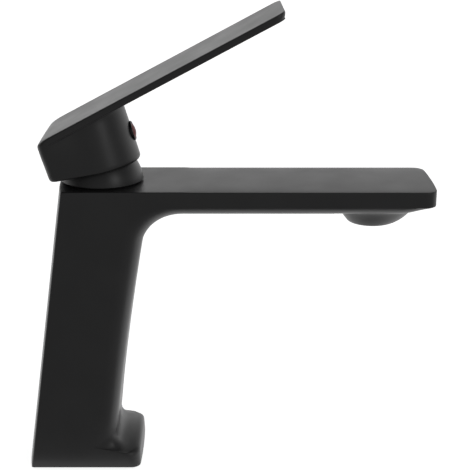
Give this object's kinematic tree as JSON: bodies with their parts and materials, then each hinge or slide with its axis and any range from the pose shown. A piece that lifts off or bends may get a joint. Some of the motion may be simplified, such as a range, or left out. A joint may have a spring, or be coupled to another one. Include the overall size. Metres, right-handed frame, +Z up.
{
  "type": "basin mixer faucet",
  "caption": "Single-lever basin mixer: a leaning column on a toed foot, a flat slab spout with a recessed outlet, and a long flat plate lever on a domed collar.",
  "frame": {"origin": "middle of the foot's half-length and width, on the deck surface that the faucet stands on", "axes": "+X towards the spout tip, +Z up, +Y to the left when looking along +X"},
  "size_m": [0.1787, 0.042, 0.2041],
  "materials": {
    "black_paint": "matt black powder coat",
    "handle_paint": "matt black powder coat",
    "gasket_rubber": "matt",
    "seal_rubber": "satin",
    "white_plastic": "moulded",
    "grey_plastic": "moulded",
    "blue_plastic": "moulded",
    "ring_plastic": "moulded",
    "disc_ceramic": "lapped",
    "pin_steel": "ground",
    "screw_steel": "blackened",
    "screen_steel": "woven mesh",
    "stem_zinc": "die cast zinc, tumbled",
    "nut_brass": "turned",
    "bezel_plastic": "gloss",
    "red_plastic": "gloss",
    "cold_plastic": "gloss",
    "shell_plastic": "matt black"
  },
  "bodies": {
    "fixed_body": {"body": "black_paint", "base_gasket": "gasket_rubber", "cartridge_base": "white_plastic", "base_seals": "seal_rubber", "disc_seals": "seal_rubber", "fixed_disc": "disc_ceramic", "cartridge_housing": "white_plastic", "housing_ring": "seal_rubber", "cartridge_nut": "nut_brass", "collar_ring": "ring_plastic", "collar": "black_paint", "aerator_seal": "seal_rubber", "aerator_shell": "shell_plastic", "aerator_insert": "white_plastic", "aerator_screens": "screen_steel"},
    "turret": {"cartridge_turret": "blue_plastic", "stem_pin": "pin_steel"},
    "lever": {"handle": "handle_paint", "set_screw": "screw_steel", "index_bezel": "bezel_plastic", "hot_insert": "red_plastic", "cold_insert": "cold_plastic", "cartridge_stem": "stem_zinc"},
    "disc_slider": {"disc_carrier": "grey_plastic", "moving_disc": "disc_ceramic"}
  },
  "joints": [
    {"name": "handle_swivel", "type": "hinge", "parent": "fixed_body", "child": "turret", "pos_m": [0.01, 0, 0.1275], "axis": [0, 0, 1], "range_deg": [-50, 50]},
    {"name": "lever_lift", "type": "hinge", "parent": "turret", "child": "lever", "pos_m": [0.01, 0, 0.1275], "axis": [0, -1, 0], "range_deg": [-12, 7]},
    {"name": "disc_slide", "type": "slide", "parent": "turret", "child": "disc_slider", "axis": [1, 0, 0], "range_m": [-0.0018, 0.0012]}
  ],
  "couplings": [
    {"joint": "disc_slide", "follows": "lever_lift", "m_per_rad": 0.00785}
  ]
}
